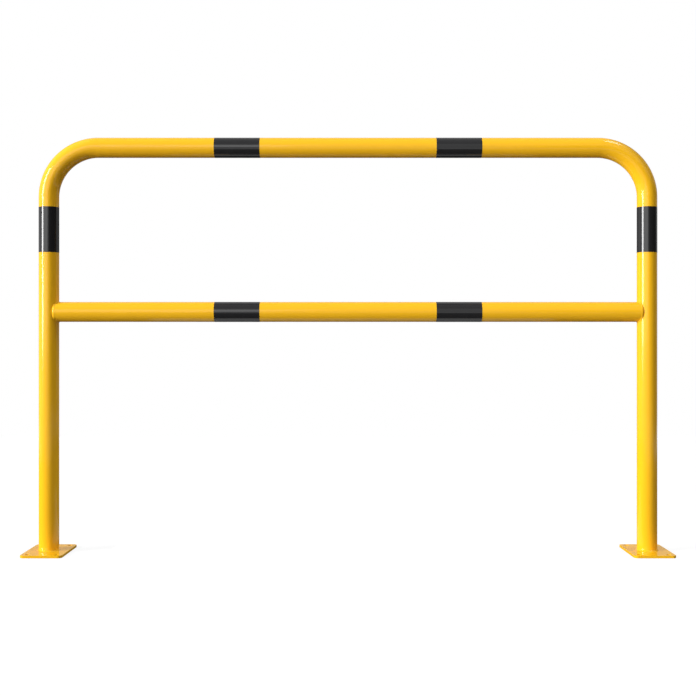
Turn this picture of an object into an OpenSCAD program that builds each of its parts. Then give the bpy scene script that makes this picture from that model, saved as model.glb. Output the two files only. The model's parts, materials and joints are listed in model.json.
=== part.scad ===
// Tubular steel impact protection barrier with a mid rail, bolted down on two base plates.
// X runs along the barrier, Y across it and Z up. The origin is on the floor, midway between the feet.

/* [Hoop] */
// Overall width of the bent hoop, over the outsides of its legs
hoop_w = 1500; // [1000:50:2000]
// Height of the hoop above the top faces of the base plates
hoop_h = 1000; // [850:50:1200]
// Outside diameter of the steel tube
tube_od = 48.3; // [42.4:0.1:60.3]
// Wall thickness of the steel tube
tube_wall = 2.6; // [2:0.1:4]
// Radius of the two bends, on the tube's centreline
bend_r = 120; // [100:5:150]

/* [Mid rail] */
// Clear gap between the top of the hoop and the mid rail
rail_gap = 350; // [250:10:450]
// Distance from a leg's axis at which the lips of the rail's saddle cut are trimmed square
lip_trim = 16; // [14:0.5:18]

/* [Base plates] */
// Length of a base plate along the barrier
plate_x = 100; // [90:5:150]
// Length of a base plate across the barrier
plate_y = 160; // [120:5:200]
// Thickness of a base plate
plate_t = 6; // [5:1:12]
// Radius of a base plate's corners
plate_corner_r = 10; // [5:1:15]
// Diameter of the holes for the floor anchors
anchor_d = 12; // [10:0.5:14]
// Distance from a plate's edges to the centres of its anchor holes
anchor_edge = 15; // [12:1:18]
// Diameter of the drain hole in a base plate, under the bore of its leg
drain_d = 20; // [10:1:24]
// Diameter of the vent from each leg into the mid rail
vent_d = 10; // [6:1:12]

/* [Welds] */
// Size of the fillet weld between a leg and its base plate
foot_weld = 2; // [1.5:0.5:5]
// Width of the rail weld on the rail, at the top and the bottom of the joint
rail_weld = 1.8; // [1:0.1:3]
// Width of the rail weld on the rail, at the trimmed lips
lip_weld = 4; // [2:0.1:6]
// Height of the rail weld's toe on the leg, above and below the rail's tube
weld_rise = 1.1; // [0.8:0.1:3]
// Distance around the leg from the trim line to the rail weld's toe
weld_reach = 4.9; // [4:0.1:7]
// Bulge of the rail weld, as a share of the width between its two toes
weld_bulge = 0.2; // [0.05:0.05:0.3]

/* [Warning bands] */
// Width of a band of black film along the tube
band_w = 110; // [60:5:150]
// Thickness of the film
band_t = 0.2; // [0.1:0.05:0.5]
// Distance from the barrier's middle to the centre of each band on the top and on the rail
band_x = 268.5; // [200:0.5:280]
// Distance from the lower end of a bend down to the band on the leg
leg_band_drop = 24.5; // [0:0.5:60]
// Length of film that overlaps at the seam, on the side away from the viewer
band_lap = 10; // [5:1:20]

/* [Hidden] */
// Steps around a tube, and steps of the rail weld around the rail
$fn = 96;
weld_steps = 96;
// How far a cutting solid runs past the face that it cuts
past = 1;
// Hairline between the rail weld's flat facets and the round tubes that they seat on
seat = 0.012;
// Power of the rounded oblong that the rail weld's toe follows on the leg
toe_power = 2.6;
// Share of the foot weld's size that its face keeps halfway between its toes
foot_fullness = 0.58;
tube_r = tube_od / 2;
bore_r = tube_r - tube_wall;
leg_x = hoop_w / 2 - tube_r;
top_z = plate_t + hoop_h - tube_r;
bend_z = top_z - bend_r;
bend_x = leg_x - bend_r;
rail_z = top_z - rail_gap - tube_od;
anchor_x = plate_x / 2 - anchor_edge;
anchor_y = plate_y / 2 - anchor_edge;
leg_band_z = bend_z - leg_band_drop - band_w / 2;
lap_angle = band_lap / (tube_r + band_t) * 180 / PI;
powder_yellow = [0.98, 0.76, 0.08];
film_black = [0.07, 0.07, 0.07];

// A round bar along X, centred on the origin
module bar_x(r, length) {
    rotate([0, 90, 0]) cylinder(r = r, h = length, center = true);
}

// The path of the bent hoop as a solid bar: two legs, two bends and the top
module hoop_bar(r, below) {
    for (side = [-1, 1]) {
        translate([side * leg_x, 0, plate_t - below]) cylinder(r = r, h = bend_z - plate_t + below);
        translate([side * bend_x, 0, bend_z])
            rotate([90, 0, side < 0 ? 180 : 0]) rotate_extrude(angle = 90)
                translate([bend_r, 0]) circle(r = r);
    }
    translate([0, 0, top_z]) bar_x(r, 2 * bend_x);
}

// One length of tube, bent twice, open at both feet, with a vent into each end of the rail
module hoop_tube() {
    color(powder_yellow) difference() {
        hoop_bar(tube_r, 0);
        hoop_bar(bore_r, past);
        for (side = [-1, 1])
            translate([side * (leg_x - tube_r), 0, rail_z]) bar_x(vent_d / 2, 2 * tube_wall + past);
    }
}

// The mid rail's tube, saddle cut to the legs, with the thin tips of its lips trimmed square
module mid_rail() {
    color(powder_yellow) difference() {
        translate([0, 0, rail_z]) bar_x(tube_r, 2 * (leg_x - lip_trim));
        translate([0, 0, rail_z]) bar_x(bore_r, 2 * (leg_x - lip_trim + past));
        for (side = [-1, 1])
            translate([side * leg_x, 0, rail_z]) cylinder(r = tube_r, h = 2 * tube_od, center = true);
    }
}

// A flat plate with rounded corners, four anchor holes and a drain hole under the leg
module base_plate(side) {
    color(powder_yellow) translate([side * leg_x, 0, 0]) difference() {
        linear_extrude(plate_t) {
            square([plate_x - 2 * plate_corner_r, plate_y], center = true);
            square([plate_x, plate_y - 2 * plate_corner_r], center = true);
            for (sx = [-1, 1], sy = [-1, 1])
                translate([sx * (plate_x / 2 - plate_corner_r), sy * (plate_y / 2 - plate_corner_r)])
                    circle(r = plate_corner_r);
        }
        for (sx = [-1, 1], sy = [-1, 1])
            translate([sx * anchor_x, sy * anchor_y, -past]) cylinder(d = anchor_d, h = plate_t + 2 * past);
        translate([0, 0, -past]) cylinder(d = drain_d, h = plate_t + 2 * past);
    }
}

// The fillet weld around the foot of a leg, slightly full between its toes
module foot_weld(side) {
    full = foot_weld * foot_fullness;
    color(powder_yellow) translate([side * leg_x, 0, plate_t]) rotate_extrude()
        polygon([[tube_r, 0], [tube_r + foot_weld, 0], [tube_r + full, full], [tube_r, foot_weld]]);
}

// The rail weld is worked out from the point where the two axes cross, with the rail running off along +X.
// The angle a runs around the rail from its top, and t around the leg from the side that faces the rail.
// This is where the rail's wall ends on its outer face at the angle a, as a distance from the leg's axis
function wall_end(a) = max(tube_r * abs(cos(a)), lip_trim);

// A point beside the rail's axis, and one on the outside of the leg
function by_rail(x, r, a) = [x, -r * sin(a), r * cos(a)];
function on_leg(t, z) = [(tube_r + seat) * cos(t), -(tube_r + seat) * sin(t), z];

// The weld's toe on the leg at the angle a, as an angle and a height on a wrapped rounded oblong
trim_t = acos(lip_trim / tube_r);
toe_across = trim_t * PI / 180 * tube_r + weld_reach;
toe_up = tube_r + weld_rise;
function toe_size(a) =
    1 / ((abs(sin(a)) / toe_across) ^ toe_power + (abs(cos(a)) / toe_up) ^ toe_power) ^ (1 / toe_power);
function toe_t(a) = toe_size(a) * sin(a) / tube_r * 180 / PI;
function toe_z(a) = toe_size(a) * cos(a);

// How many spans of the weld's section lie on the leg, of the five from its toe to the rail's outer edge
function trimmed(a) = tube_r * abs(sin(a)) > tube_r * sin(trim_t);
function root_radius(a) = trimmed(a) ? max(bore_r, tube_r * sin(trim_t) / abs(sin(a))) : tube_r + seat;
function root_t(a) = trimmed(a) ? atan2(root_radius(a) * sin(a), lip_trim) : asin(sin(a));
function root_z(a) = root_radius(a) * cos(a);

// A point on the leg at the angle a, the share u of the way from the weld's toe to its root
function along_leg(a, u) =
    on_leg(toe_t(a) + (root_t(a) - toe_t(a)) * u, toe_z(a) + (root_z(a) - toe_z(a)) * u);

// The weld's underside at the angle a: along the leg, over its root and along the end of the rail's wall
function weld_seat(a) =
    let (spans = trimmed(a) ? 3 : 5,
         edge = by_rail(wall_end(a) + (trimmed(a) ? -seat : seat), tube_r + seat, a),
         root = on_leg(root_t(a), root_z(a)),
         inner = by_rail(lip_trim - seat, bore_r, a))
    [for (i = [0:5])
        i == 5 ? edge
        : i <= spans ? along_leg(a, i / spans)
        : root_radius(a) > bore_r ? (root + edge) / 2
        : inner];

// The weld's bulging face at the angle a, from its toe on the rail towards its toe on the leg
function weld_face(a) =
    let (start = by_rail(wall_end(a) + rail_weld + (lip_weld - rail_weld) * sin(a) ^ 4, tube_r + seat, a),
         end = on_leg(toe_t(a), toe_z(a)),
         out = by_rail(0, 1, a) + on_leg(toe_t(a), 0) / tube_r,
         bulge = weld_bulge * norm(end - start) / norm(out))
    [for (i = [0:4]) let (u = i / 5) start + (end - start) * u + out * bulge * 4 * u * (1 - u)];

// A closed ring of sections as one solid
module ring_of_sections(sections) {
    n = len(sections);
    k = len(sections[0]);
    polyhedron(
        points = [for (s = sections) each s],
        faces = [for (i = [0:n - 1], j = [0:k - 1])
            let (this = i * k, next = (i + 1) % n * k, up = (j + 1) % k)
            each [[this + j, next + up, this + up], [this + j, next + j, next + up]]]);
}

// The weld all round one end of the rail
module rail_weld(side) {
    angles = [for (i = [0:weld_steps - 1]) (i + 0.5) * 360 / weld_steps];
    color(powder_yellow) translate([side * leg_x, 0, rail_z]) rotate([0, 0, side > 0 ? 180 : 0])
        ring_of_sections([for (a = angles) concat(weld_face(a), weld_seat(a))]);
}

// A sleeve of film around a tube along Z, with its seam towards +Y, where the film laps over itself
module band() {
    color(film_black) {
        rotate_extrude() translate([tube_r, -band_w / 2]) square([band_t, band_w]);
        rotate([0, 0, 90 - lap_angle / 2]) rotate_extrude(angle = lap_angle)
            translate([tube_r + band_t / 2, -band_w / 2]) square([1.5 * band_t, band_w]);
    }
}

// A band on the top of the hoop or on the rail
module band_across(side, z) {
    translate([side * band_x, 0, z]) rotate([0, 90, 0]) band();
}

// A band on a leg, just under the bend
module band_upright(side) {
    translate([side * leg_x, 0, leg_band_z]) band();
}

hoop_tube();
mid_rail();
base_plate(-1);  // base_plate_left
base_plate(1);  // base_plate_right
foot_weld(-1);  // foot_weld_left
foot_weld(1);  // foot_weld_right
rail_weld(-1);  // rail_weld_left
rail_weld(1);  // rail_weld_right
band_across(-1, top_z);  // band_top_left
band_across(1, top_z);  // band_top_right
band_across(-1, rail_z);  // band_rail_left
band_across(1, rail_z);  // band_rail_right
band_upright(-1);  // band_leg_left
band_upright(1);  // band_leg_right
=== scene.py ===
"""A tubular steel impact protection barrier: a bent hoop with a mid rail, two base plates and black warning bands.

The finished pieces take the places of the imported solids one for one. They keep the solids' forms and add what a
solid leaves out: rounder tubes, softened plate edges, weld ripples and the finishes of paint and film.
"""
from __future__ import annotations

import json
import logging
import math
from dataclasses import dataclass, field
from enum import Enum
from typing import Callable, ClassVar, Iterable, Union

import bpy
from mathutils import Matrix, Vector

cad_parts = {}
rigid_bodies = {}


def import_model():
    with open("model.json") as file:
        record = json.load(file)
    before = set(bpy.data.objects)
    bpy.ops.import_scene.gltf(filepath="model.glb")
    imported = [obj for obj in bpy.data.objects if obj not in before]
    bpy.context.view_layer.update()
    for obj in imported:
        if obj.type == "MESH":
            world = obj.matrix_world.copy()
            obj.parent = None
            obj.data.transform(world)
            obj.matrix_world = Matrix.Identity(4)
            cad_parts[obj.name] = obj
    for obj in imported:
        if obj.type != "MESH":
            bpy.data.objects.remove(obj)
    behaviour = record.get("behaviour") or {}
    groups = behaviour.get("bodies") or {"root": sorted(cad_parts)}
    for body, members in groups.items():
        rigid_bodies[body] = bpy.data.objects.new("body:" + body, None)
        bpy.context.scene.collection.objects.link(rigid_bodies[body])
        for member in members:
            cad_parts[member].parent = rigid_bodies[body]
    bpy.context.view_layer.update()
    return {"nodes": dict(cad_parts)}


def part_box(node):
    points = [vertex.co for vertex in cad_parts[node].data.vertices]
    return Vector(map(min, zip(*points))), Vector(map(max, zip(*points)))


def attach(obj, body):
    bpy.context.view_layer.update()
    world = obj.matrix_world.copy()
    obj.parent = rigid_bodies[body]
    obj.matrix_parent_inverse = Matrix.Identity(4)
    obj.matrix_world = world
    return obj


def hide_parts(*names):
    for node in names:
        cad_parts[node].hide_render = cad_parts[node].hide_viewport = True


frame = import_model()

log = logging.getLogger("barrier")

Colour = tuple[float, float, float, float]
Point = tuple[float, float, float]
Number = Union[int, float]

MM = 0.001
ROUND = 96


class Side(Enum):
    """The two ends of the barrier, as the photograph shows them."""

    LEFT = -1
    RIGHT = 1

    @property
    def word(self) -> str:
        """The side's word in the names of pieces."""
        return self.name.lower()


class Slot(Enum):
    """The record's material slots."""

    POWDER_COAT = "powder_coat"
    BAND_FILM = "band_film"


# Shader nodes


class Wire:
    """A node's output socket that adds Math nodes when it is used in an expression."""

    def __init__(self, sheet: "NodeSheet", socket: bpy.types.NodeSocket) -> None:
        """Keeps the sheet of nodes and the output socket.

        Args:
            sheet: the sheet on which new Math nodes are put.
            socket: the output socket that the wire leads from.
        """
        self.sheet = sheet
        self.socket = socket

    def _math(self, operation: str, *values: Union["Wire", Number]) -> "Wire":
        """A Math node over this wire and other values.

        Args:
            operation: the Math node's operation.
            values: the node's inputs in order, as wires or numbers.

        Returns:
            The node's result.
        """
        return self.sheet.node("ShaderNodeMath", {"operation": operation}, dict(enumerate(values)))

    def __add__(self, other: Union["Wire", Number]) -> "Wire":
        """The sum."""
        return self._math("ADD", self, other)

    def __radd__(self, other: Number) -> "Wire":
        """The sum, with a number on the left."""
        return self._math("ADD", other, self)

    def __sub__(self, other: Union["Wire", Number]) -> "Wire":
        """The difference."""
        return self._math("SUBTRACT", self, other)

    def __rsub__(self, other: Number) -> "Wire":
        """The difference, with a number on the left."""
        return self._math("SUBTRACT", other, self)

    def __mul__(self, other: Union["Wire", Number]) -> "Wire":
        """The product."""
        return self._math("MULTIPLY", self, other)

    def __rmul__(self, other: Number) -> "Wire":
        """The product, with a number on the left."""
        return self._math("MULTIPLY", other, self)

    def __pow__(self, other: Number) -> "Wire":
        """The power."""
        return self._math("POWER", self, other)

    def __abs__(self) -> "Wire":
        """The size without its sign."""
        return self._math("ABSOLUTE", self)

    def sine(self) -> "Wire":
        """The sine, of an angle in radians."""
        return self._math("SINE", self)

    def angle_from(self, other: "Wire") -> "Wire":
        """The angle in radians of the direction with this wire as its rise and the other as its run."""
        return self._math("ARCTAN2", self, other)

    def above(self, limit: Number) -> "Wire":
        """1 where the value is above a limit, else 0."""
        return self._math("GREATER_THAN", self, limit)

    def larger(self, other: Union["Wire", Number]) -> "Wire":
        """The larger of the two values."""
        return self._math("MAXIMUM", self, other)


class NodeSheet:
    """The node tree of one material or world, emptied and filled again."""

    def __init__(self, owner: Union[bpy.types.Material, bpy.types.World]) -> None:
        """Empties the owner's tree.

        Args:
            owner: the material or world.
        """
        owner.use_nodes = True
        self.owner = owner
        self.tree = owner.node_tree
        self.tree.nodes.clear()

    def node(self, kind: str, settings: dict[str, object], inputs: dict[Union[int, str], object],
             output: Union[int, str] = 0) -> Wire:
        """Adds one node.

        Args:
            kind: the node's type.
            settings: the node's own settings, and for a ramp its stops under the key stops.
            inputs: what its sockets get, by index or name, as wires, numbers, colours or vectors.
            output: the output socket to return, by index or name.

        Returns:
            The wire from that output.
        """
        made = self.tree.nodes.new(kind)
        for name, value in settings.items():
            if name == "stops":
                self._set_stops(made, value)
            else:
                setattr(made, name, value)
        for key, value in inputs.items():
            if isinstance(value, Wire):
                self.tree.links.new(value.socket, made.inputs[key])
            else:
                made.inputs[key].default_value = value
        return Wire(self, made.outputs[output] if made.outputs else None)

    @staticmethod
    def _set_stops(ramp: bpy.types.Node, stops: Iterable[tuple[float, Colour]]) -> None:
        """Gives a ramp its stops.

        Args:
            ramp: the Color Ramp node.
            stops: each stop's place and colour, in order.
        """
        elements = ramp.color_ramp.elements
        stops = list(stops)
        while len(elements) < len(stops):
            elements.new(1.0)
        for element, (place, colour) in zip(elements, stops):
            element.position = place
            element.color = colour

    def place(self) -> Wire:
        """The surface point in the object's own coordinates."""
        return self.node("ShaderNodeTexCoord", {}, {}, "Object")

    def axes(self, point: Wire) -> tuple[Wire, Wire, Wire]:
        """The three coordinates of a point.

        Args:
            point: the point.

        Returns:
            Its X, Y and Z.
        """
        split = self.node("ShaderNodeSeparateXYZ", {}, {0: point})
        outputs = split.socket.node.outputs
        return tuple(Wire(self, outputs[i]) for i in range(3))

    def noise(self, point: Wire, cell: float, detail: float, roughness: float = 0.5) -> Wire:
        """Soft noise between 0 and 1.

        Args:
            point: where the noise is read.
            cell: the size of one blotch in metres.
            detail: how many finer layers are added.
            roughness: how strong the finer layers are.

        Returns:
            The noise.
        """
        return self.node("ShaderNodeTexNoise", {}, {
            "Vector": point, "Scale": 1 / cell, "Detail": detail, "Roughness": roughness})

    def mix_colour(self, share: Wire, first: Colour, second: Colour) -> Wire:
        """A colour between two.

        Args:
            share: 0 for the first colour and 1 for the second.
            first: the colour at 0.
            second: the colour at 1.

        Returns:
            The mixed colour.
        """
        return self.node("ShaderNodeMix", {"data_type": "RGBA"}, {0: share, 6: first, 7: second}, 2)

    def bump(self, height: Wire, depth: float) -> Wire:
        """A Bump node.

        Args:
            height: the relief between 0 and 1.
            depth: how far the relief stands out, in metres.

        Returns:
            The bent normal.
        """
        return self.node("ShaderNodeBump", {}, {"Strength": 1.0, "Distance": depth, "Height": height}, "Normal")

    def surface(self, shader: Wire) -> None:
        """Leads a shader to the output.

        Args:
            shader: the finished shader.
        """
        kind = "ShaderNodeOutputWorld" if isinstance(self.owner, bpy.types.World) else "ShaderNodeOutputMaterial"
        self.node(kind, {}, {"Surface": shader})


# Finishes


@dataclass(frozen=True)
class Ripples:
    """The scale marks that a weld's bead keeps under the paint, counted round an axis."""

    centre: Point
    across: str
    count: int
    depth: float = 0.02 * MM

    def relief(self, sheet: NodeSheet, point: Wire) -> Wire:
        """The marks as a relief.

        Args:
            sheet: the sheet that gets the nodes.
            point: the surface point.

        Returns:
            The relief, from 0 between two scales to 1 on a scale's back.
        """
        x, y, z = sheet.axes(point)
        if self.across == "Z":
            turn = (y - self.centre[1]).angle_from(x - self.centre[0])
        else:
            turn = (y - self.centre[1]).angle_from(z - self.centre[2])
        wander = sheet.noise(point, 6 * MM, 1.0) * 1.2
        return abs((turn * (self.count / 2) + wander).sine()) ** 2


@dataclass(frozen=True)
class PowderCoat:
    """Gloss yellow powder coat: a thick even skin with the faint orange peel of a stoved finish."""

    name: str = "powder_coat"
    colour: Colour = (0.93, 0.50, 0.014, 1.0)
    thin: Colour = (0.90, 0.475, 0.012, 1.0)
    gloss: float = 0.11
    peel_cell: float = 2.6 * MM
    peel_depth: float = 0.0015 * MM
    ripples: Ripples | None = None

    def build(self) -> bpy.types.Material:
        """Makes the material.

        Returns:
            The material.
        """
        material = bpy.data.materials.new(self.name)
        sheet = NodeSheet(material)
        point = sheet.place()
        blotch = sheet.noise(point, 90 * MM, 3.0)
        speck = sheet.noise(point, 0.9 * MM, 1.0)
        colour = sheet.mix_colour(blotch * 0.8 + speck * 0.2, self.colour, self.thin)
        peel = sheet.noise(point, self.peel_cell, 2.0, 0.45)
        roughness = self.gloss + (blotch - 0.5) * 0.02 + (speck - 0.5) * 0.01
        normal = sheet.bump(peel, self.peel_depth)
        if self.ripples:
            relief = self.ripples.relief(sheet, point)
            normal = sheet.node("ShaderNodeBump", {}, {
                "Strength": 1.0, "Distance": self.ripples.depth, "Height": relief, "Normal": normal}, "Normal")
        shader = sheet.node("ShaderNodeBsdfPrincipled", {}, {
            "Base Color": colour, "Roughness": roughness, "Normal": normal, "IOR": 1.32})
        sheet.surface(shader)
        return material


@dataclass(frozen=True)
class BandFilm:
    """Gloss black film, pulled tight round the tube."""

    name: str = "band_film"
    colour: Colour = (0.012, 0.012, 0.013, 1.0)
    worn: Colour = (0.017, 0.017, 0.018, 1.0)
    gloss: float = 0.07

    def build(self) -> bpy.types.Material:
        """Makes the material.

        Returns:
            The material.
        """
        material = bpy.data.materials.new(self.name)
        sheet = NodeSheet(material)
        point = sheet.place()
        haze = sheet.noise(point, 25 * MM, 3.0)
        grain = sheet.noise(point, 1.2 * MM, 2.0)
        colour = sheet.mix_colour(haze, self.colour, self.worn)
        roughness = self.gloss + (haze - 0.5) * 0.03
        normal = sheet.bump(haze * 0.7 + grain * 0.3, 0.01 * MM)
        shader = sheet.node("ShaderNodeBsdfPrincipled", {}, {
            "Base Color": colour, "Roughness": roughness, "Normal": normal, "IOR": 1.42})
        sheet.surface(shader)
        return material


# The bench: modelling steps that several pieces share


class Bench:
    """Modelling steps, each on the active object."""

    @staticmethod
    def clear() -> None:
        """Leaves nothing selected, in object mode."""
        if bpy.context.object and bpy.context.object.mode != "OBJECT":
            bpy.ops.object.mode_set(mode="OBJECT")
        bpy.ops.object.select_all(action="DESELECT")

    @staticmethod
    def named(name: str) -> bpy.types.Object:
        """Names the active object and writes its place into its mesh.

        Args:
            name: the piece's name.

        Returns:
            The piece.
        """
        piece = bpy.context.object
        piece.name = name
        piece.data.name = name
        bpy.ops.object.transform_apply(location=True, rotation=True, scale=True)
        return piece

    @staticmethod
    def edit(piece: bpy.types.Object, kind: str = "VERT") -> None:
        """Opens a piece for editing.

        Args:
            piece: the piece.
            kind: what is selected, VERT, EDGE or FACE.
        """
        Bench.clear()
        piece.select_set(True)
        bpy.context.view_layer.objects.active = piece
        bpy.ops.object.mode_set(mode="EDIT")
        bpy.ops.mesh.select_mode(type=kind)

    @staticmethod
    def select(piece: bpy.types.Object, kind: str, wanted: Callable[[object], bool]) -> None:
        """Selects parts of a piece that is open for editing.

        Args:
            piece: the piece.
            kind: vertices, edges or polygons.
            wanted: says of a part whether it is selected.
        """
        bpy.ops.mesh.select_all(action="DESELECT")
        bpy.ops.object.mode_set(mode="OBJECT")
        for part in getattr(piece.data, kind):
            part.select = wanted(part)
        bpy.ops.object.mode_set(mode="EDIT")

    @staticmethod
    def extrude(step: Point) -> None:
        """Draws the selection out by a step.

        Args:
            step: how far, in metres.
        """
        bpy.ops.mesh.extrude_region_move(TRANSFORM_OT_translate={"value": step})

    @staticmethod
    def close(merge: float = 0.001 * MM) -> None:
        """Merges doubles, turns all faces outwards and leaves edit mode.

        Args:
            merge: how close two points lie that become one.
        """
        bpy.ops.mesh.select_all(action="SELECT")
        bpy.ops.mesh.remove_doubles(threshold=merge)
        bpy.ops.mesh.normals_make_consistent(inside=False)
        bpy.ops.object.mode_set(mode="OBJECT")

    @staticmethod
    def modify(piece: bpy.types.Object, kind: str, **settings: object) -> None:
        """Adds a modifier and applies it.

        Args:
            piece: the piece.
            kind: the modifier's type.
            settings: the modifier's settings.
        """
        Bench.clear()
        piece.select_set(True)
        bpy.context.view_layer.objects.active = piece
        modifier = piece.modifiers.new(kind.title(), kind)
        for name, value in settings.items():
            setattr(modifier, name, value)
        bpy.ops.object.modifier_apply(modifier=modifier.name)

    @staticmethod
    def bore(piece: bpy.types.Object, centre: Point, radius: float, length: float, axis: str, steps: int) -> None:
        """Cuts a round hole through a piece.

        Args:
            piece: the piece.
            centre: the middle of the cutter.
            radius: the hole's radius.
            length: the cutter's length.
            axis: X or Z, along which the hole runs.
            steps: how many sides the hole gets.
        """
        Bench.clear()
        turn = (0.0, math.pi / 2, 0.0) if axis == "X" else (0.0, 0.0, 0.0)
        bpy.ops.mesh.primitive_cylinder_add(vertices=steps, radius=radius, depth=length, location=centre, rotation=turn)
        cutter = Bench.named("cutter")
        Bench.modify(piece, "BOOLEAN", operation="DIFFERENCE", object=cutter, solver="EXACT")
        bpy.data.objects.remove(cutter, do_unlink=True)

    @staticmethod
    def smooth(piece: bpy.types.Object, degrees: float) -> None:
        """Shades a piece smooth, up to an angle between faces.

        Args:
            piece: the piece.
            degrees: edges sharper than this stay sharp.
        """
        Bench.clear()
        piece.select_set(True)
        bpy.context.view_layer.objects.active = piece
        bpy.ops.object.shade_smooth_by_angle(angle=math.radians(degrees))

    @staticmethod
    def fit(piece: bpy.types.Object, node: str, slot: Slot, finish: bpy.types.Material) -> None:
        """Dresses a piece and puts it in the place of its solid.

        Args:
            piece: the piece.
            node: the solid's name.
            slot: the record's slot that the piece belongs to; not used.
            finish: the piece's material.
        """
        piece.data.materials.clear()
        piece.data.materials.append(finish)
        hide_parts(node)
        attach(piece, "root")
        low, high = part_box(node)
        mesh = [vertex.co for vertex in piece.data.vertices]
        off = max(max(abs(min(v[i] for v in mesh) - low[i]), abs(max(v[i] for v in mesh) - high[i])) for i in range(3))
        log.info("%s: %d faces, within %.2f mm of its solid's box", piece.name, len(piece.data.polygons), off / MM)


# Sub-assemblies


@dataclass
class Tube:
    """The structural tube that the hoop and the rail are cut from."""

    radius: float = 24.15 * MM
    wall: float = 2.6 * MM


@dataclass
class Hoop:
    """The bent hoop: two legs, two bends and the top, in one length of tube."""

    tube: Tube = field(default_factory=Tube)
    leg_x: float = 725.85 * MM
    foot_z: float = 6 * MM
    bend_r: float = 120 * MM
    top_z: float = 981.85 * MM
    rail_z: float = 583.55 * MM
    vent_r: float = 5 * MM
    bend_steps: int = 40

    @property
    def bend_x(self) -> float:
        """The distance from the middle to a bend's centre."""
        return self.leg_x - self.bend_r

    @property
    def bend_z(self) -> float:
        """The height of the bends' centres."""
        return self.top_z - self.bend_r

    def build(self) -> bpy.types.Object:
        """Draws the tube from foot to foot, then gives it its wall and its vents.

        Returns:
            The hoop.
        """
        Bench.clear()
        bpy.ops.mesh.primitive_circle_add(
            vertices=ROUND, radius=self.tube.radius, location=(-self.leg_x, 0, self.foot_z))
        hoop = Bench.named("hoop")
        Bench.edit(hoop)
        bpy.ops.mesh.select_all(action="SELECT")
        stops = [self.foot_z, self.rail_z - 12 * MM, self.rail_z + 12 * MM, self.bend_z]
        for low, high in zip(stops, stops[1:]):
            Bench.extrude((0, 0, high - low))
        self._bend(-self.bend_x)
        Bench.extrude((2 * self.bend_x, 0, 0))
        self._bend(self.bend_x)
        for low, high in reversed(list(zip(stops, stops[1:]))):
            Bench.extrude((0, 0, low - high))
        Bench.close()
        Bench.modify(hoop, "SOLIDIFY", thickness=self.tube.wall, offset=-1.0)
        for side in Side:
            inner = side.value * (self.leg_x - self.tube.radius)
            Bench.bore(hoop, (inner, 0, self.rail_z), self.vent_r, 3 * self.tube.wall, "X", 32)
        Bench.smooth(hoop, 35)
        return hoop

    def _bend(self, centre_x: float) -> None:
        """Turns the open end a quarter round a bend's centre.

        Args:
            centre_x: the X of the bend's centre.
        """
        bpy.ops.mesh.spin(steps=self.bend_steps, angle=math.pi / 2, center=(centre_x, 0, self.bend_z), axis=(0, -1, 0))


@dataclass
class MidRail:
    """The rail between the legs, saddle cut to them, with the lips of each saddle trimmed."""

    hoop: Hoop
    lip_trim: float = 16 * MM

    def build(self) -> bpy.types.Object:
        """Draws the rail, gives it its wall and cuts its saddles.

        Returns:
            The rail.
        """
        tube = self.hoop.tube
        Bench.clear()
        bpy.ops.mesh.primitive_cylinder_add(
            vertices=ROUND, radius=tube.radius, depth=2 * (self.hoop.leg_x - self.lip_trim), end_fill_type="NOTHING",
            location=(0, 0, self.hoop.rail_z), rotation=(0, math.pi / 2, 0))
        rail = Bench.named("mid_rail_tube")
        Bench.edit(rail)
        Bench.close()
        Bench.modify(rail, "SOLIDIFY", thickness=tube.wall, offset=-1.0)
        for side in Side:
            Bench.bore(rail, (side.value * self.hoop.leg_x, 0, self.hoop.rail_z), tube.radius, 0.12, "Z", ROUND)
        Bench.smooth(rail, 35)
        return rail


@dataclass
class BasePlate:
    """A flat plate under a leg, with rounded corners, four anchor holes and a drain hole."""

    side: Side
    hoop: Hoop
    length: float = 100 * MM
    depth: float = 160 * MM
    thickness: float = 6 * MM
    corner_r: float = 10 * MM
    anchor_edge: float = 15 * MM
    anchor_r: float = 6 * MM
    drain_r: float = 10 * MM
    edge_r: float = 0.6 * MM

    def build(self) -> bpy.types.Object:
        """Cuts the plate out, rounds its corners, bores it and softens its edges.

        Returns:
            The plate.
        """
        x = self.side.value * self.hoop.leg_x
        middle = self.thickness / 2
        Bench.clear()
        bpy.ops.mesh.primitive_cube_add(size=1, location=(x, 0, middle), scale=(self.length, self.depth, self.thickness))
        plate = Bench.named(f"foot_{self.side.word}")
        Bench.edit(plate, "EDGE")
        points = plate.data.vertices
        Bench.select(plate, "edges", lambda edge: abs(
            points[edge.vertices[0]].co.z - points[edge.vertices[1]].co.z) > middle)
        bpy.ops.mesh.bevel(offset=self.corner_r, segments=12, affect="EDGES")
        Bench.close()
        away_x = self.length / 2 - self.anchor_edge
        away_y = self.depth / 2 - self.anchor_edge
        for over_x in (-away_x, away_x):
            for over_y in (-away_y, away_y):
                Bench.bore(plate, (x + over_x, over_y, middle), self.anchor_r, 3 * self.thickness, "Z", 48)
        Bench.bore(plate, (x, 0, middle), self.drain_r, 3 * self.thickness, "Z", 48)
        Bench.modify(plate, "BEVEL", width=self.edge_r, segments=3, limit_method="ANGLE",
                     angle_limit=math.radians(40), harden_normals=True)
        return plate


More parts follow.
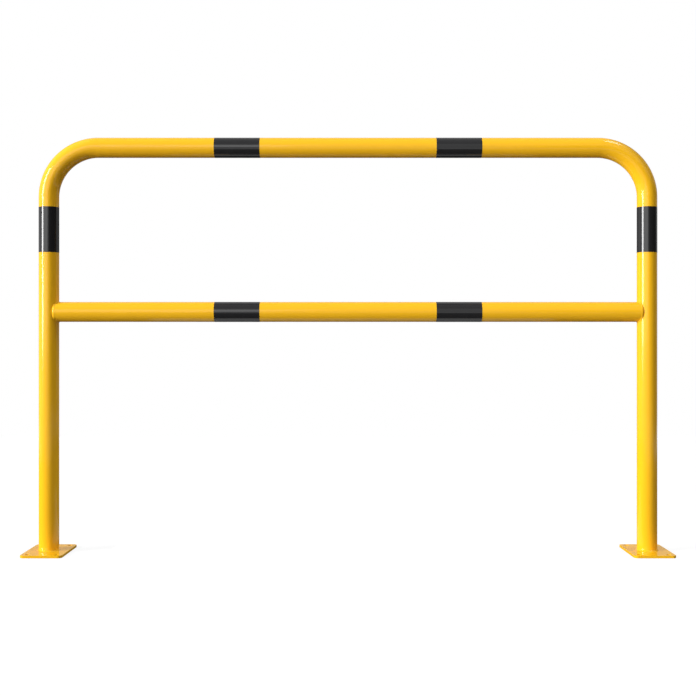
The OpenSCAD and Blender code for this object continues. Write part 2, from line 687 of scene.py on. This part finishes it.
@dataclass
class FootWeld:
    """The fillet weld around the foot of a leg."""

    side: Side
    hoop: Hoop
    size: float = 2 * MM
    fullness: float = 0.58

    def build(self) -> bpy.types.Object:
        """Shapes the weld's section and turns it round the leg.

        Returns:
            The weld.
        """
        x = self.side.value * self.hoop.leg_x
        toe = x + self.hoop.tube.radius
        base = self.hoop.foot_z
        Bench.clear()
        bpy.ops.mesh.primitive_plane_add(
            size=self.size, location=(toe + self.size / 2, 0, base + self.size / 2), rotation=(math.pi / 2, 0, 0))
        weld = Bench.named(f"foot_bead_{self.side.word}")
        Bench.edit(weld)
        Bench.select(weld, "vertices", lambda vertex: vertex.co.x > toe + self.size / 2
                     and vertex.co.z > base + self.size / 2)
        back = (self.fullness - 1) * self.size
        bpy.ops.transform.translate(value=(back, 0, back))
        bpy.ops.mesh.bevel(offset=0.45 * MM, segments=4, affect="VERTICES")
        bpy.ops.mesh.select_all(action="SELECT")
        bpy.ops.mesh.delete(type="ONLY_FACE")
        bpy.ops.mesh.select_all(action="SELECT")
        bpy.ops.mesh.spin(steps=ROUND, angle=2 * math.pi, center=(x, 0, base), axis=(0, 0, 1))
        Bench.close()
        Bench.smooth(weld, 50)
        return weld

    def ripples(self) -> Ripples:
        """The weld's scale marks."""
        return Ripples((self.side.value * self.hoop.leg_x, 0, 0), "Z", 90)


@dataclass
class RailWeld:
    """The weld all round one end of the rail, from the solid's own form, dressed down flush with the rail."""

    side: Side
    hoop: Hoop
    proud: float = 0.04 * MM

    def build(self) -> bpy.types.Object:
        """Copies the solid, merges its loose faces and rounds them.

        Returns:
            The weld.
        """
        source = frame["nodes"][f"rail_weld_{self.side.word}"]
        Bench.clear()
        source.select_set(True)
        bpy.context.view_layer.objects.active = source
        bpy.ops.object.duplicate(linked=False)
        weld = bpy.context.object
        bpy.ops.object.parent_clear(type="CLEAR_KEEP_TRANSFORM")
        weld = Bench.named(f"rail_bead_{self.side.word}")
        Bench.edit(weld)
        Bench.close(0.002 * MM)
        flush = (self.hoop.tube.radius + self.proud) / max(vertex.co.y for vertex in weld.data.vertices)
        Bench.edit(weld)
        bpy.ops.mesh.select_all(action="SELECT")
        bpy.ops.transform.resize(value=(1, flush, 1), center_override=(0, 0, self.hoop.rail_z))
        Bench.close()
        Bench.smooth(weld, 50)
        return weld

    def ripples(self) -> Ripples:
        """The weld's scale marks."""
        return Ripples((self.side.value * self.hoop.leg_x, 0, self.hoop.rail_z), "X", 84)


@dataclass
class Band:
    """A sleeve of film round a tube, lapped at its seam on the side away from the viewer."""

    name: str
    centre: Point
    along: str
    hoop: Hoop
    width: float = 110 * MM
    film: float = 0.2 * MM
    lap: float = 10 * MM

    def build(self) -> bpy.types.Object:
        """Rolls the sleeve, gives it the film's thickness and raises its lap.

        Returns:
            The band.
        """
        radius = self.hoop.tube.radius
        Bench.clear()
        turn = (0.0, math.pi / 2, 0.0) if self.along == "X" else (0.0, 0.0, 0.0)
        bpy.ops.mesh.primitive_cylinder_add(
            vertices=ROUND, radius=radius, depth=self.width, end_fill_type="NOTHING", location=self.centre,
            rotation=turn)
        band = Bench.named(self.name)
        Bench.edit(band)
        Bench.close()
        Bench.modify(band, "SOLIDIFY", thickness=self.film, offset=1.0)
        Bench.edit(band, "FACE")
        Bench.select(band, "polygons", self._in_lap)
        bpy.ops.mesh.extrude_region_shrink_fatten(TRANSFORM_OT_shrink_fatten={"value": self.film})
        Bench.close()
        Bench.smooth(band, 35)
        return band

    def _in_lap(self, face: bpy.types.MeshPolygon) -> bool:
        """Whether a face lies on the outside of the lap.

        Args:
            face: the face.

        Returns:
            True on the outside, within half the lap's length of the seam.
        """
        away = Vector(face.center) - Vector(self.centre)
        if self.along == "X":
            away.x = 0
            side = away.z
        else:
            away.z = 0
            side = away.x
        outward = face.normal.dot(away.normalized()) > 0.9
        return outward and away.y > 0 and abs(side) < self.lap / 2


# The studio


@dataclass(frozen=True)
class Panel:
    """A flat rectangle round the barrier, given by the part of the surroundings that it fills.

    The bearing counts from the viewer's side, positive to the right, and the height from the horizon, in degrees.
    """

    name: str
    bearing: tuple[float, float]
    height: tuple[float, float]
    distance: float
    centre: ClassVar[Vector] = Vector((0.0, 0.0, 0.5))

    @property
    def direction(self) -> Vector:
        """Where the panel's middle lies, as a direction from the barrier."""
        turn = math.radians(sum(self.bearing) / 2)
        rise = math.radians(sum(self.height) / 2)
        return Vector((math.sin(turn) * math.cos(rise), -math.cos(turn) * math.cos(rise), math.sin(rise)))

    @property
    def size(self) -> tuple[float, float]:
        """The panel's width and height, in metres, narrower where bearings crowd together overhead."""
        width, height = (2 * self.distance * math.tan(math.radians(high - low) / 2)
                         for low, high in (self.bearing, self.height))
        return width * math.cos(math.radians(sum(self.height) / 2)), height

    def hang(self, panel: bpy.types.Object) -> None:
        """Puts an object in the panel's place, facing the barrier.

        Args:
            panel: the object.
        """
        panel.name = self.name
        panel.location = self.centre + self.direction * self.distance
        panel.rotation_euler = self.direction.to_track_quat("Z", "Y").to_euler()


@dataclass(frozen=True)
class Softbox(Panel):
    """A soft lamp."""

    radiance: float = 1.0

    def build(self) -> bpy.types.Object:
        """Hangs the lamp.

        Returns:
            The lamp.
        """
        width, height = self.size
        Bench.clear()
        bpy.ops.object.light_add(type="AREA")
        lamp = bpy.context.object
        lamp.data.shape = "RECTANGLE"
        lamp.data.size = width
        lamp.data.size_y = height
        lamp.data.energy = self.radiance * width * height * math.pi
        self.hang(lamp)
        return lamp


@dataclass(frozen=True)
class Card(Panel):
    """A card that glows evenly at its tone, like a dim lamp: the gloss shows it and the camera doesn't."""

    tone: float = 0.05

    def build(self) -> bpy.types.Object:
        """Hangs the card.

        Returns:
            The card.
        """
        Bench.clear()
        bpy.ops.mesh.primitive_plane_add(size=1)
        card = bpy.context.object
        card.scale = (*self.size, 1)
        self.hang(card)
        card.visible_camera = False
        card.visible_shadow = False
        sheet = NodeSheet(bpy.data.materials.new(self.name))
        card.data.materials.append(sheet.owner)
        # The card's colour is emitted light at strength tone, not a matt surface lit by the lamps.
        sheet.surface(sheet.node("ShaderNodeEmission", {}, {"Color": (1, 1, 1, 1), "Strength": self.tone}))
        return card


@dataclass(frozen=True)
class Screen(Card):
    """A card that stands upright, so that it fills the same bearings at each height, and only gloss shows it."""

    @property
    def direction(self) -> Vector:
        """Where the screen stands, as a level direction from the barrier."""
        turn = math.radians(sum(self.bearing) / 2)
        return Vector((math.sin(turn), -math.cos(turn), 0.0))

    @property
    def reach(self) -> tuple[float, float]:
        """How far the screen's lower and upper edge lie above the barrier's middle, in metres."""
        low, high = (self.distance * math.tan(math.radians(height)) for height in self.height)
        return low, high

    @property
    def size(self) -> tuple[float, float]:
        """The screen's width and height, in metres."""
        low, high = self.reach
        return 2 * self.distance * math.tan(math.radians(self.bearing[1] - self.bearing[0]) / 2), high - low

    def hang(self, panel: bpy.types.Object) -> None:
        """Puts an object in the screen's place, facing the barrier.

        Args:
            panel: the object.
        """
        super().hang(panel)
        panel.location.z += sum(self.reach) / 2
        panel.visible_diffuse = False


@dataclass
class Studio:
    """The pale floor, the white surroundings, the lamps, the flags and the camera."""

    camera_y: float = -2.758
    camera_z: float = 0.496
    lens: float = 58.76
    front_light: float = 0.04
    back_light: float = 1.4
    lamps: tuple[Softbox, ...] = (
        Softbox("tall_left", (-72, -53), (0, 28), 30.0, 27.0),
        Softbox("front", (-50, -3), (0, 26), 30.0, 2.15),
        Softbox("high_right", (54, 94), (57, 71), 30.0, 11.0),
    )
    cards: tuple[Card, ...] = (
        Screen("screen_right", (9, 78), (-16, 20), 34.0),
        Screen("screen_far_right", (78, 106), (-16, 50), 34.0),
        Screen("screen_rim", (106, 130), (-16, 50), 34.0, 0.75),
        Screen("screen_back_right", (130, 158), (-16, 50), 34.0),
        Screen("screen_behind", (158, 202), (-16, 50), 34.0, 0.42),
        Screen("screen_back_left", (202, 233), (-16, 50), 34.0),
        Card("card_over", (-60, 60), (36, 120), 36.0, 0.6),
    )
    cloths: tuple[tuple[Point, Point], ...] = (
        ((-3.0, -2.2), (3.0, -0.12)),
        ((-3.0, 0.35), (3.0, 3.4)),
        ((-3.0, -0.12), (-0.58, 0.35)),
        ((0.60, -0.12), (3.0, 0.35)),
    )
    cloth_lift: float = 0.5 * MM

    def build(self) -> None:
        """Sets up the whole studio."""
        self._world()
        self._floor()
        for lamp in self.lamps:
            lamp.build()
        for card in self.cards:
            card.build()
        for near, far in self.cloths:
            self._cloth(near, far)
        self._camera()

    @staticmethod
    def _seen(sheet: NodeSheet) -> Wire:
        """Where the surroundings themselves are looked at, straight, in a gloss or through glass.

        Args:
            sheet: the sheet that gets the nodes.

        Returns:
            1 on a ray that shows the surroundings, else 0.
        """
        rays = [sheet.node("ShaderNodeLightPath", {}, {}, name)
                for name in ("Is Camera Ray", "Is Glossy Ray", "Is Transmission Ray")]
        return rays[0].larger(rays[1]).larger(rays[2])

    def _world(self) -> None:
        """Gives the world a soft light that grows towards the back of the sky, and white for a background."""
        world = bpy.data.worlds.new("surroundings")
        bpy.context.scene.world = world
        sheet = NodeSheet(world)
        _, back, up = sheet.axes(sheet.node("ShaderNodeTexCoord", {}, {}, "Generated"))
        dim, bright, white = (
            sheet.node("ShaderNodeBackground", {}, {"Color": (1, 1, 1, 1), "Strength": strength})
            for strength in (self.front_light, self.back_light, 1.0))
        share = ((back + 1) * 0.5) ** 2 * up.above(0.0)
        light = sheet.node("ShaderNodeMixShader", {}, {0: share, 1: dim, 2: bright})
        sheet.surface(sheet.node("ShaderNodeMixShader", {}, {0: self._seen(sheet), 1: light, 2: white}))

    def _cloth(self, near: Point, far: Point) -> bpy.types.Object:
        """Lays a dark cloth on the floor, which the camera doesn't see.

        Args:
            near: the cloth's left corner towards the viewer.
            far: its right corner away from the viewer.

        Returns:
            The cloth.
        """
        Bench.clear()
        middle = ((near[0] + far[0]) / 2, (near[1] + far[1]) / 2, self.cloth_lift)
        bpy.ops.mesh.primitive_plane_add(size=1, location=middle)
        cloth = bpy.context.object
        cloth.name = "cloth"
        cloth.scale = (far[0] - near[0], far[1] - near[1], 1)
        cloth.visible_camera = False
        cloth.visible_shadow = False
        sheet = NodeSheet(bpy.data.materials.new("cloth"))
        cloth.data.materials.append(sheet.owner)
        sheet.surface(sheet.node("ShaderNodeBsdfDiffuse", {}, {"Color": (0.1, 0.1, 0.1, 1)}))
        return cloth

    def _floor(self) -> bpy.types.Object:
        """Lays the floor.

        Returns:
            The floor.
        """
        Bench.clear()
        bpy.ops.mesh.primitive_plane_add(size=9, location=(0, -1, 0))
        floor = Bench.named("floor")
        Bench.edit(floor)
        bpy.ops.mesh.select_all(action="SELECT")
        bpy.ops.mesh.subdivide(number_cuts=3)
        bpy.ops.object.mode_set(mode="OBJECT")
        material = bpy.data.materials.new("floor")
        sheet = NodeSheet(material)
        matt = sheet.node("ShaderNodeBsdfDiffuse", {}, {"Color": (0.4, 0.4, 0.4, 1)})
        white = sheet.node("ShaderNodeEmission", {}, {"Color": (1, 1, 1, 1), "Strength": 1.8})
        sheet.surface(sheet.node("ShaderNodeMixShader", {}, {0: self._seen(sheet) * 0.5, 1: matt, 2: white}))
        floor.data.materials.append(material)
        return floor

    def _camera(self) -> None:
        """Places the camera level, at the photograph's distance and height."""
        Bench.clear()
        bpy.ops.object.camera_add(location=(0, self.camera_y, self.camera_z), rotation=(math.pi / 2, 0, 0))
        camera = bpy.context.object
        camera.data.sensor_width = 36
        camera.data.lens = self.lens
        bpy.context.scene.camera = camera
        bpy.context.scene.view_settings.view_transform = "Standard"


# The barrier


@dataclass
class Barrier:
    """The whole barrier, piece by piece."""

    hoop: Hoop = field(default_factory=Hoop)
    band_x: float = 268.5 * MM
    leg_band_drop: float = 24.5 * MM
    band_width: float = 110 * MM

    def bands(self) -> list[Band]:
        """The bands, two on the top, two on the rail and one on each leg.

        Returns:
            The bands.
        """
        leg_z = self.hoop.bend_z - self.leg_band_drop - self.band_width / 2
        made = []
        for side in Side:
            x = side.value * self.band_x
            made.append(Band(f"film_top_{side.word}", (x, 0, self.hoop.top_z), "X", self.hoop))
            made.append(Band(f"film_rail_{side.word}", (x, 0, self.hoop.rail_z), "X", self.hoop))
            made.append(Band(f"film_leg_{side.word}", (side.value * self.hoop.leg_x, 0, leg_z), "Z", self.hoop))
        return made

    def build(self) -> None:
        """Builds, dresses and fits every piece."""
        paint = PowderCoat().build()
        film = BandFilm().build()
        Bench.fit(self.hoop.build(), "hoop_tube", Slot.POWDER_COAT, paint)
        Bench.fit(MidRail(self.hoop).build(), "mid_rail", Slot.POWDER_COAT, paint)
        for side in Side:
            Bench.fit(BasePlate(side, self.hoop).build(), f"base_plate_{side.word}", Slot.POWDER_COAT, paint)
            foot = FootWeld(side, self.hoop)
            foot_paint = PowderCoat(name=f"powder_coat_foot_{side.word}", ripples=foot.ripples()).build()
            Bench.fit(foot.build(), f"foot_weld_{side.word}", Slot.POWDER_COAT, foot_paint)
            joint = RailWeld(side, self.hoop)
            joint_paint = PowderCoat(name=f"powder_coat_joint_{side.word}", ripples=joint.ripples()).build()
            Bench.fit(joint.build(), f"rail_weld_{side.word}", Slot.POWDER_COAT, joint_paint)
        for band in self.bands():
            Bench.fit(band.build(), band.name.replace("film", "band"), Slot.BAND_FILM, film)


def main() -> None:
    """Builds the barrier, then the studio around it."""
    logging.basicConfig(level=logging.INFO, format="%(name)s: %(message)s", force=True)
    Barrier().build()
    Studio().build()
    Bench.clear()


if __name__ == "__main__":
    main()
